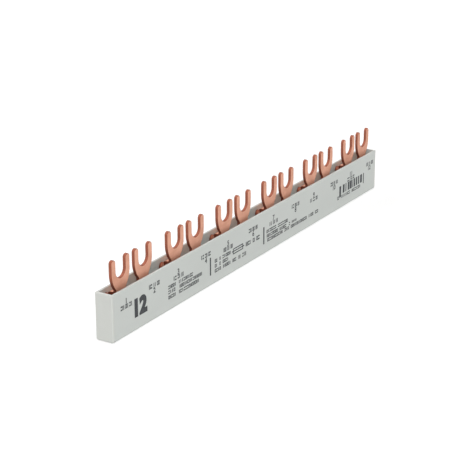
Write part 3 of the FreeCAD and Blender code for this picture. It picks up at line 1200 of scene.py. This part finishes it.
@dataclass
class PrintedFront:
    """Plain marks pad-printed on the front of the profile.

    Positions are millimetres along the bar and above its base.
    """

    places: np.ndarray
    film: float = 0.02
    sunk: float = 0.01
    seed: int = 12
    sign_pitch: float = 1.42
    number_size: float = 3.7
    number_weight: float = 0.1
    number_levels: tuple[float, float] = (17.2, 14.6)
    number_shifts: tuple[float, ...] = (-0.6, 4.0, -2.5, 3.9, -2.2, 4.4,
                                        -1.5, 4.2, -2.1, 4.0, -2.3, 3.3)
    number_steps: int = 6
    fork_ends: tuple[float, ...] = (-4.4, -1.6, -0.8, 1.4, 2.2, 4.4)
    fork_height: float = 2.2
    rows: tuple[Row, ...] = (
        Row(11.7, 1.8, (-87.0, -80.2, -78.2, -65.6)),
        Row(9.2, 1.8, (-87.0, -81.0, -77.4, -57.6)),
        Row(6.6, 1.8, (-87.0, -80.4, -78.0, -60.0)),
        Row(11.6, 1.8, (-46.0, -43.6, -41.6, -40.4, -38.8, -31.0)),
        Row(9.0, 1.8, (-46.0, -43.6, -41.6, -40.4, -38.6, -33.0)),
        Row(6.4, 1.8, (-46.0, -40.2, -38.6, -30.8, -29.4, -25.6)),
        Row(6.4, 2.1, (-23.8, -21.6)), Row(6.4, 2.2, (-19.8, -16.0)),
        Row(11.0, 2.3, (-16.4, -11.2)), Row(11.0, 2.2, (-9.4, -7.4)),
        Row(11.0, 2.3, (-5.8, -2.4)), Row(11.4, 1.8, (4.6, 14.8)),
        Row(11.2, 1.8, (16.4, 27.0)), Row(8.9, 1.8, (4.8, 16.8)),
        Row(8.7, 1.8, (18.2, 25.6)), Row(8.6, 1.8, (28.2, 29.6)),
        Row(8.8, 1.2, (31.4, 36.6)), Row(6.5, 1.8, (5.4, 21.6, 23.4, 28.4)),
        Row(6.4, 1.8, (30.4, 48.0)), Row(6.5, 1.8, (50.0, 55.6, 57.4, 61.0)),
        Row(6.7, 2.0, (83.4, 85.6)), Row(6.6, 1.8, (88.4, 99.4, 101.4, 112.6)),
    )
    bars: tuple[tuple[float, float, float, float], ...] = (
        (-50.5, -49.4, 5.4, 14.8), (1.2, 2.4, 5.4, 14.8),
        (-28.8, -19.0, 12.1, 12.65), (-28.8, -19.0, 9.55, 10.1),
        (-28.8, -28.2, 10.1, 12.1), (-19.6, -19.0, 10.1, 12.1),
        (-29.8, -18.0, 10.85, 11.4),
        (86.0, 88.2, 6.6, 13.2), (90.2, 92.4, 8.3, 13.2), (93.6, 94.6, 8.3, 13.2),
        (96.4, 98.4, 8.3, 13.2), (98.9, 101.4, 8.3, 13.2), (102.2, 103.2, 8.3, 13.2),
        (104.0, 105.6, 8.3, 13.2), (106.6, 108.2, 8.3, 13.2), (109.2, 110.6, 8.3, 13.2),
        (111.8, 114.2, 8.3, 13.2), (115.6, 116.6, 7.0, 13.2),
    )
    count_mark: tuple[float, float, float, float] = (-116.0, -102.8, 6.9, 15.1)
    count_weight: float = 0.8
    count_share: float = 1.37   # font size that gives digits of height one
    sharpest: float = 0.8       # bounds how far a pointed corner moves
    weld_places: int = 4        # decimals of a millimetre to which corners are one

    def slabs(self, strokes: np.ndarray) -> Shell:
        """Thin flat bars: each row (left, right, bottom, top) swept by the film.

        Args:
            strokes: One row for each bar.

        Returns:
            The surface, with eight points and six faces for each bar.
        """
        front = box_mm("housing")[0][1]
        order = np.array([[0, 2], [1, 2], [1, 3], [0, 3]])
        flat = strokes[:, order]
        near = np.insert(flat, 1, front - self.film, axis=2)
        far = np.insert(flat, 1, front + self.sunk, axis=2)
        points = np.concatenate([near, far], axis=1)
        faces = np.array([[0, 1, 2, 3], [7, 6, 5, 4], [0, 4, 5, 1], [1, 5, 6, 2],
                          [2, 6, 7, 3], [3, 7, 4, 0]])
        every = faces[None] + 8 * np.arange(len(strokes))[:, None, None]
        count = 6 * len(strokes)
        return Shell(points.reshape(-1, 3), every.reshape(-1, 4).tolist(),
                     np.zeros(count, bool), np.zeros(count, int))

    def signs(self, rows: tuple[Row, ...], pick: np.random.Generator) -> np.ndarray:
        """Strokes of the signs that fill each word from end to end.

        Args:
            rows: The rows of words.
            pick: Source of the random choice of signs.

        Returns:
            One row (left, right, bottom, top) for each stroke.
        """
        drawn = []
        kinds = [np.array(kind.value) for kind in Sign]
        for row in rows:
            for first, last in zip(row.ends[::2], row.ends[1::2]):
                count = max(1, round((last - first) / self.sign_pitch))
                pitch = (last - first) / count
                for number, kind in enumerate(pick.integers(0, len(kinds), count)):
                    left, bottom = first + number * pitch, row.level - row.height / 2
                    drawn.append(kinds[kind] * [pitch, pitch, row.height, row.height]
                                 + [left, left, bottom, bottom])
        return np.concatenate(drawn)

    def middles(self) -> np.ndarray:
        """Where the number of each fork stands along the bar."""
        return self.places + self.number_shifts

    def fork_rows(self) -> tuple[Row, ...]:
        """Signs beside the number of each fork, above it or below it in turn.

        Returns:
            One row of three words for each fork.
        """
        return tuple(Row(self.number_levels[(index + 1) % 2], self.fork_height,
                         tuple(middle + end for end in self.fork_ends))
                     for index, middle in enumerate(self.middles()))

    def number(self, text: str, size: float, weight: float
               ) -> tuple[np.ndarray, list[list[int]]]:
        """Flat digits about their own middle, as points and faces.

        Each corner of the outline moves by w (a + b) / (1 + a . b), with a and b the
        outward normals of its two sides, so that a stroke gains w on each side.

        Args:
            text: The digits.
            size: Font size in millimetres.
            weight: How far each stroke is thickened.

        Returns:
            Points as (x, depth, height) and the faces' corner numbers.
        """
        curve = bpy.data.curves.new("digits", "FONT")
        curve.body, curve.size = text, size
        curve.align_x, curve.align_y = "CENTER", "CENTER"
        curve.extrude = (self.film + self.sunk) / 2
        curve.resolution_u = self.number_steps
        holder = bpy.data.objects.new("digits", curve)
        bpy.context.scene.collection.objects.link(holder)
        mesh = bpy.data.meshes.new_from_object(holder)
        points = np.zeros(len(mesh.vertices) * 3, np.float32)
        mesh.vertices.foreach_get("co", points)
        points = points.reshape(-1, 3).astype(float)
        points[:, :2] -= (points[:, :2].min(axis=0) + points[:, :2].max(axis=0)) / 2
        points, same = np.unique(points.round(self.weld_places), axis=0,
                                 return_inverse=True)
        faces = []
        outward = np.zeros((len(points), 2))
        for polygon in mesh.polygons:
            face = list(dict.fromkeys(same.ravel()[list(polygon.vertices)].tolist()))
            if len(face) > 2:
                faces.append(face)
                if abs(polygon.normal.z) < abs(polygon.normal.xy.length):
                    outward[face] += np.array(polygon.normal.xy)
        reach = np.maximum((outward ** 2).sum(axis=1, keepdims=True), self.sharpest)
        points[:, :2] += 2 * weight * outward / reach
        bpy.data.objects.remove(holder)
        bpy.data.meshes.remove(mesh)
        bpy.data.curves.remove(curve)
        return points[:, [0, 2, 1]] * [1, -1, 1], faces

    def numbers(self) -> Shell:
        """The forks' numbers and the count of forks.

        Returns:
            One surface with all of them.
        """
        depth = box_mm("housing")[0][1] + (self.sunk - self.film) / 2
        left, right, bottom, top = self.count_mark
        marks = [(str(index + 1), self.number_size, self.number_weight, middle,
                  self.number_levels[index % 2])
                 for index, middle in enumerate(self.middles())]
        marks.append((str(len(self.places)), self.count_share * (top - bottom),
                      self.count_weight, (left + right) / 2, (bottom + top) / 2))
        shells = []
        for text, size, weight, middle, level in marks:
            points, faces = self.number(text, size, weight)
            shells.append(Shell(points + [middle, depth, level], faces,
                                np.zeros(len(faces), bool), np.zeros(len(faces), int)))
        return Shell.join(shells)

    def build(self, ink: Material) -> list[Object]:
        """Prints the numbers, the rows of signs and the bars.

        Args:
            ink: Material of the print.

        Returns:
            The four pieces of print.
        """
        pick = np.random.default_rng(self.seed)
        shells = {
            "printed_numbers": self.numbers(),
            "printed_rows": self.slabs(self.signs(self.rows, pick)),
            "printed_fork_signs": self.slabs(self.signs(self.fork_rows(), pick)),
            "printed_bars": self.slabs(np.array(self.bars)),
        }
        return [add_piece(name, shell, [ink]) for name, shell in shells.items()]


@dataclass(frozen=True)
class Lamp:
    """A soft square lamp: its place and side in metres and its power in watts."""

    name: str
    place: tuple[float, float, float]
    side: float
    power: float


@dataclass
class Studio:
    """Plain white studio with soft lamps and the photograph's camera."""

    floor_side: float = 8.0
    floor_level: float = -0.00005
    paper: str = "#EEEEEE"
    white_near: float = 0.2     # the floor's own white beside the bar
    fade_from: float = 0.2      # distance at which that white starts to rise
    fade_to: float = 0.9
    room_light: float = 0.4
    lamps: tuple[Lamp, ...] = (
        Lamp("key_lamp", (-1.6, -0.9, 1.2), 1.0, 19.0),
        Lamp("front_lamp", (0.0, -2.0, 0.5), 1.0, 3.0),
        Lamp("top_lamp", (-0.2, -0.4, 1.9), 1.2, 14.0),
        Lamp("back_lamp", (0.4, 1.7, 1.2), 1.0, 13.0),
    )
    azimuth: float = -58.511    # degrees, like the two below; 0 looks at the front
    elevation: float = 20.040
    roll: float = -0.074
    distance_mm: float = 762.81
    shift_right_mm: float = -9.966
    shift_up_mm: float = -1.346
    aim_mm: tuple[float, float, float] = (0.0, 0.0, 11.6)
    focal_px: float = 1469.18
    image_px: int = 470
    sensor_mm: float = 36.0
    clip: tuple[float, float] = (0.05, 20.0)

    def backdrop_share(self, tree: NodeTree) -> NodeSocket:
        """Adds the nodes that tell a view of the backdrop from its light.

        Args:
            tree: Node tree of the floor's material or of the world.

        Returns:
            One for the camera and for reflections, else zero.
        """
        path = add_node(tree, "LightPath")
        return add_node(tree, "Math", {
            0: path["Is Camera Ray"], 1: path["Is Glossy Ray"]},
            operation="MAXIMUM")["Value"]

    def build_floor(self) -> None:
        """White floor, which takes the bar's shadow and stays white far from it.

        Its own white rises with the distance from the bar, because the lamps'
        light falls off there.
        """
        half = self.floor_side / 2
        mesh = bpy.data.meshes.new("studio_floor")
        mesh.from_pydata([(x * half, y * half, self.floor_level) for x, y in
                          ((-1, -1), (1, -1), (1, 1), (-1, 1))], [], [[0, 1, 2, 3]])
        floor = bpy.data.objects.new("studio_floor", mesh)
        bpy.context.scene.collection.objects.link(floor)
        material = bpy.data.materials.new("studio_paper")
        tree = empty_tree(material)
        paper = add_node(tree, "BsdfDiffuse", {"Color": linear(self.paper)})
        place = add_node(tree, "TexCoord")["Object"]
        away = add_node(tree, "VectorMath", {0: place}, operation="LENGTH")
        rise = add_node(tree, "MapRange", {
            "Value": away["Value"], "From Min": self.fade_from, "From Max": self.fade_to,
            "To Min": self.white_near, "To Max": 1.0})
        white = add_node(tree, "Emission", {"Strength": rise["Result"]})
        lit = add_node(tree, "AddShader", {0: paper["BSDF"], 1: white["Emission"]})
        surface = add_node(tree, "MixShader", {
            0: self.backdrop_share(tree), 1: paper["BSDF"], 2: lit["Shader"]})
        add_node(tree, "OutputMaterial", {"Surface": surface["Shader"]})
        mesh.materials.append(material)

    def build_world(self) -> None:
        """Even light from all round, seen as white by the camera and in reflections."""
        world = bpy.context.scene.world = bpy.data.worlds.new("studio_world")
        tree = empty_tree(world)
        soft, white = (add_node(tree, "Background", {
            "Color": linear("#FFFFFF"), "Strength": strength})
            for strength in (self.room_light, 1.0))
        light = add_node(tree, "MixShader", {
            0: self.backdrop_share(tree), 1: soft["Background"],
            2: white["Background"]})
        add_node(tree, "OutputWorld", {"Surface": light["Shader"]})

    def build_lamps(self) -> None:
        """Soft lamps, each turned to the middle of the bar."""
        for lamp in self.lamps:
            light = bpy.data.lights.new(lamp.name, "AREA")
            light.shape, light.size, light.energy = "SQUARE", lamp.side, lamp.power
            holder = bpy.data.objects.new(lamp.name, light)
            holder.location = lamp.place
            aim = -Vector(lamp.place)
            holder.rotation_euler = aim.to_track_quat("-Z", "Y").to_euler()
            bpy.context.scene.collection.objects.link(holder)

    def build_camera(self) -> None:
        """Camera of the photograph, fitted to the bar's edges and forks."""
        turn, lift = math.radians(self.azimuth), math.radians(self.elevation)
        back = Vector((math.sin(turn) * math.cos(lift), -math.cos(turn) * math.cos(lift),
                       math.sin(lift)))
        right = (-back).cross(Vector((0, 0, 1))).normalized()
        up = right.cross(-back)
        lean = math.radians(self.roll)
        right, up = (right * math.cos(lean) + up * math.sin(lean),
                     up * math.cos(lean) - right * math.sin(lean))
        place = (Vector(self.aim_mm) + back * self.distance_mm
                 + right * self.shift_right_mm + up * self.shift_up_mm) * MM
        data = bpy.data.cameras.new("photo_camera")
        data.sensor_width = self.sensor_mm
        data.lens = self.focal_px * self.sensor_mm / self.image_px
        data.clip_start, data.clip_end = self.clip
        camera = bpy.data.objects.new("photo_camera", data)
        axes = Matrix((right, up, back)).transposed().to_4x4()
        camera.matrix_world = Matrix.Translation(place) @ axes
        bpy.context.scene.collection.objects.link(camera)
        bpy.context.scene.camera = camera

    def build(self) -> None:
        """Makes the whole studio."""
        bpy.context.scene.view_settings.view_transform = "Standard"
        self.build_camera()
        self.build_world()
        self.build_lamps()
        self.build_floor()


def main() -> None:
    """Builds the studio and every piece in turn, and reports each piece."""
    logging.basicConfig(level=logging.INFO, format="%(name)s %(message)s")
    Studio().build()
    rolled, sheared = RolledCopper().build(), ShearedCopper().build()
    pvc, abs_plastic, ink = RigidPvc().build(), MouldedAbs().build(), PadInk().build()
    places, level, radius = terminals()
    pieces = [
        StampedComb("front_comb", places[1::2], level, radius).build(rolled, sheared),
        CrankedComb("rear_comb", places[0::2], level, radius).build(rolled, sheared),
        TroughProfile().build(pvc),
        *(EndCap(end).build(abs_plastic) for end in End),
        *PrintedFront(places).build(ink),
    ]
    for piece in pieces:
        log.info("%s: %d faces", piece.name, len(piece.data.polygons))


if __name__ == "__main__":
    main()
